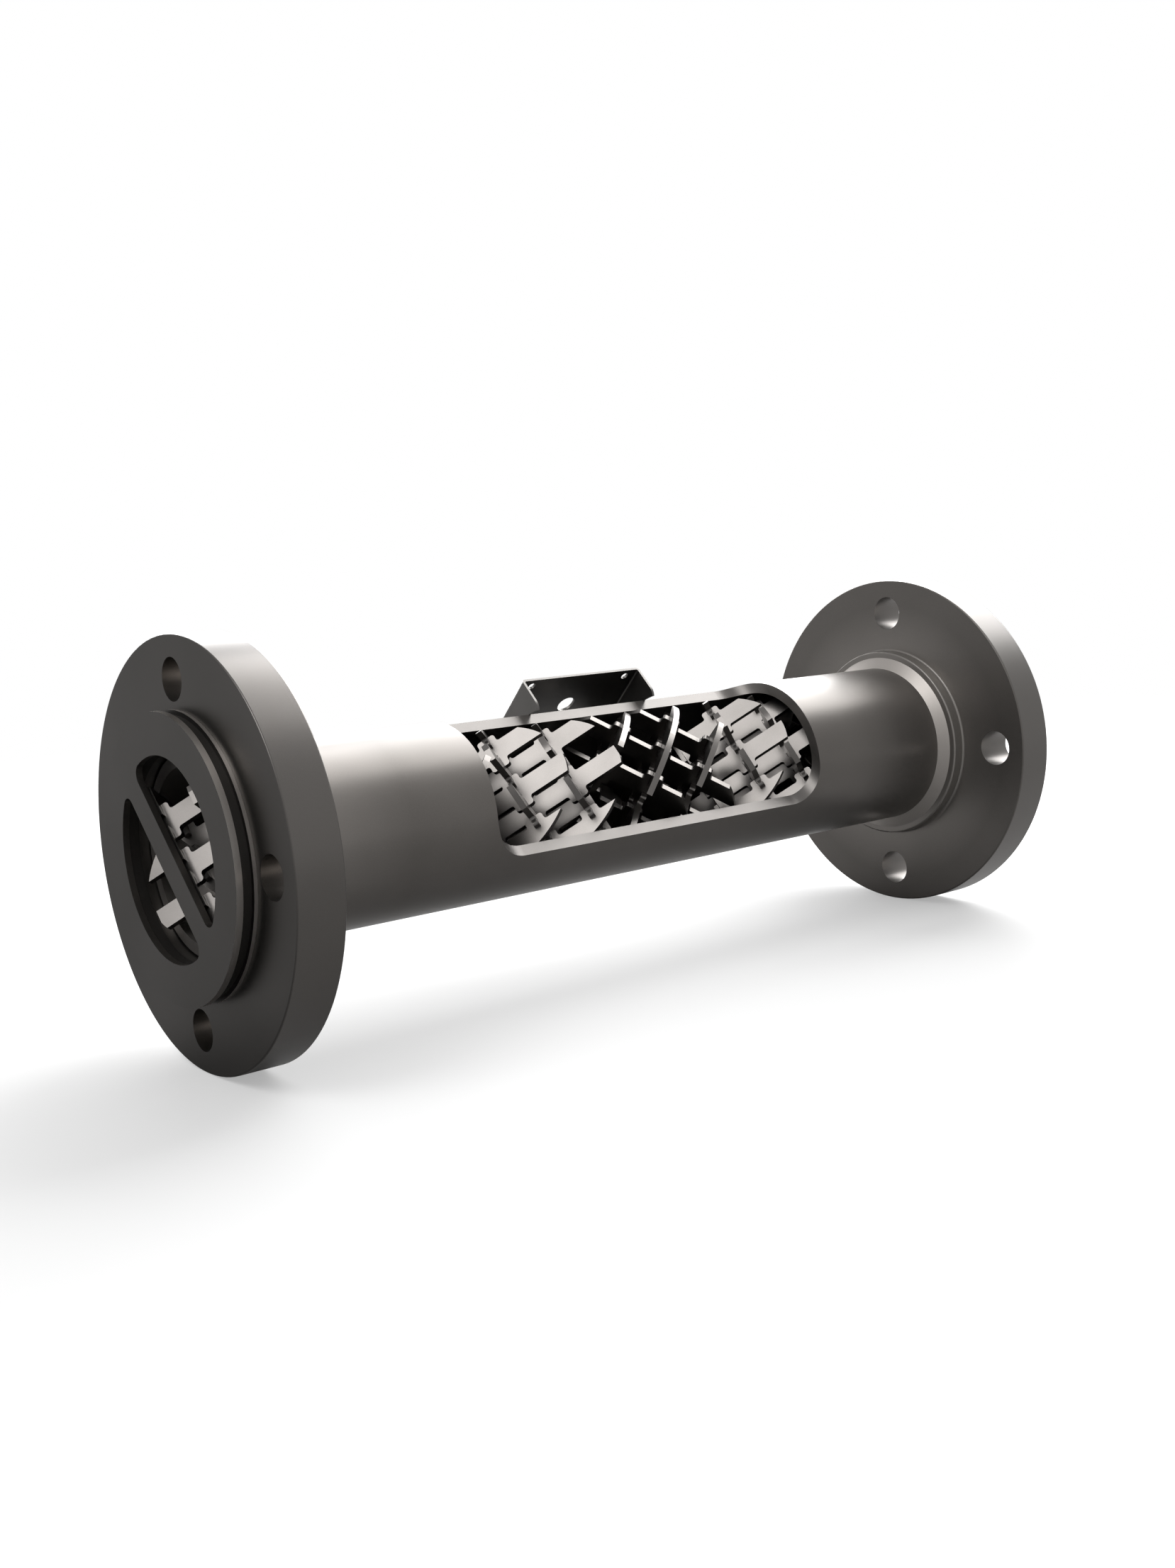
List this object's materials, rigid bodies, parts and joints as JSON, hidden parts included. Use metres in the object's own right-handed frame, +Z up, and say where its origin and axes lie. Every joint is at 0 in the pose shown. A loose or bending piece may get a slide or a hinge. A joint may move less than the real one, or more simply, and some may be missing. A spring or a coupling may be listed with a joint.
{
  "type": "static mixer",
  "caption": "Flanged in-line static mixer: a straight pipe housing with a cut-out sight window that shows crossed diagonal mixing bars inside.",
  "frame": {"origin": "centre of the retaining plate's outer face, on the pipe's axis", "axes": "+X along the pipe towards the rear flange, +Z up; the sight window faces up and towards -Y, the label bracket up and towards +Y"},
  "size_m": [0.4845, 0.1906, 0.1906],
  "materials": {
    "flange_steel": "satin, fine turned grain",
    "pipe_steel": "satin, fine brushed grain",
    "weld_metal": "dressed smooth, pale",
    "retaining_plate": "satin",
    "spacer_ring": "satin",
    "stop_ring": "satin",
    "mixing_bars": "cut sheet, satin",
    "bracket_sheet": "satin sheet"
  },
  "bodies": {
    "root": {"front_flange": "flange_steel", "front_weld": "weld_metal", "housing_pipe": "pipe_steel", "label_bracket": "bracket_sheet", "mixing_element_1_falling_front_row": "mixing_bars", "mixing_element_1_falling_middle_row": "mixing_bars", "mixing_element_1_falling_rear_row": "mixing_bars", "mixing_element_1_rising_front_row": "mixing_bars", "mixing_element_1_rising_middle_row": "mixing_bars", "mixing_element_1_rising_rear_row": "mixing_bars", "mixing_element_2_falling_front_row": "mixing_bars", "mixing_element_2_falling_middle_row": "mixing_bars", "mixing_element_2_falling_rear_row": "mixing_bars", "mixing_element_2_rising_front_row": "mixing_bars", "mixing_element_2_rising_middle_row": "mixing_bars", "mixing_element_2_rising_rear_row": "mixing_bars", "mixing_element_3_falling_front_row": "mixing_bars", "mixing_element_3_falling_middle_row": "mixing_bars", "mixing_element_3_falling_rear_row": "mixing_bars", "mixing_element_3_rising_front_row": "mixing_bars", "mixing_element_3_rising_middle_row": "mixing_bars", "mixing_element_3_rising_rear_row": "mixing_bars", "mixing_element_4_falling_front_row": "mixing_bars", "mixing_element_4_falling_middle_row": "mixing_bars", "mixing_element_4_falling_rear_row": "mixing_bars", "mixing_element_4_rising_front_row": "mixing_bars", "mixing_element_4_rising_middle_row": "mixing_bars", "mixing_element_4_rising_rear_row": "mixing_bars", "mixing_element_5_falling_front_row": "mixing_bars", "mixing_element_5_falling_middle_row": "mixing_bars", "mixing_element_5_falling_rear_row": "mixing_bars", "mixing_element_5_rising_front_row": "mixing_bars", "mixing_element_5_rising_middle_row": "mixing_bars", "mixing_element_5_rising_rear_row": "mixing_bars", "mixing_element_6_falling_front_row": "mixing_bars", "mixing_element_6_falling_middle_row": "mixing_bars", "mixing_element_6_falling_rear_row": "mixing_bars", "mixing_element_6_rising_front_row": "mixing_bars", "mixing_element_6_rising_middle_row": "mixing_bars", "mixing_element_6_rising_rear_row": "mixing_bars", "rear_flange": "flange_steel", "rear_stop_ring": "stop_ring", "rear_weld": "weld_metal", "retaining_plate": "retaining_plate", "spacer_ring": "spacer_ring"}
  },
  "joints": []
}
